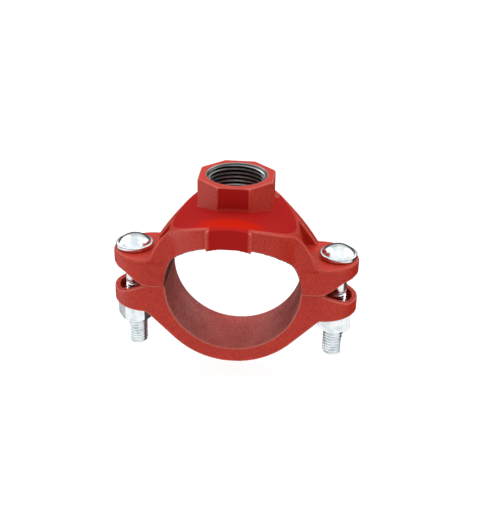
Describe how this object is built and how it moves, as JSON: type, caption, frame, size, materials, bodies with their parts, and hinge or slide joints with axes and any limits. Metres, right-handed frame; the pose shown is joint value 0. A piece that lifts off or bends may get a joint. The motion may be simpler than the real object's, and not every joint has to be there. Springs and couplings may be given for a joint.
{
  "type": "mechanical tee",
  "caption": "Bolted saddle branch for a pipe: an upper housing with a threaded outlet and a lower strap, clamped round the pipe by bolts, with a gasket round the hole.",
  "frame": {"origin": "where the pipe's axis crosses the outlet's axis, on the plane where the two housings meet", "axes": "+Y along the pipe's axis, +Z along the outlet's axis, up; +X towards the right-hand bolt"},
  "size_m": [0.142, 0.089, 0.1107],
  "materials": {
    "red_enamel": "red enamel over sand-cast ductile iron",
    "zinc_plate": "bright zinc plate",
    "epdm_rubber": "smooth black rubber"
  },
  "bodies": {
    "outlet": {"outlet_housing": "red_enamel", "outlet_gasket": "epdm_rubber", "track_bolt_left": "zinc_plate", "track_bolt_right": "zinc_plate"},
    "strap": {"strap_housing": "red_enamel"},
    "left_nut": {"nut_left": "zinc_plate"},
    "right_nut": {"nut_right": "zinc_plate"}
  },
  "joints": [
    {"name": "strap_drop", "type": "slide", "parent": "outlet", "child": "strap", "axis": [0, 0, -1], "range_m": [0, 0.014]},
    {"name": "nut_left_turn", "type": "hinge", "parent": "strap", "child": "left_nut", "pos_m": [-0.05865, 0, -0.0236], "axis": [0, 0, -1], "range_deg": [0, 2881]},
    {"name": "nut_right_turn", "type": "hinge", "parent": "strap", "child": "right_nut", "pos_m": [0.05865, 0, -0.0236], "axis": [0, 0, -1], "range_deg": [0, 2881]}
  ],
  "couplings": [
    {"joint": "nut_left_turn", "follows": "strap_drop", "rad_per_m": 3590.4},
    {"joint": "nut_right_turn", "follows": "strap_drop", "rad_per_m": 3590.4}
  ]
}
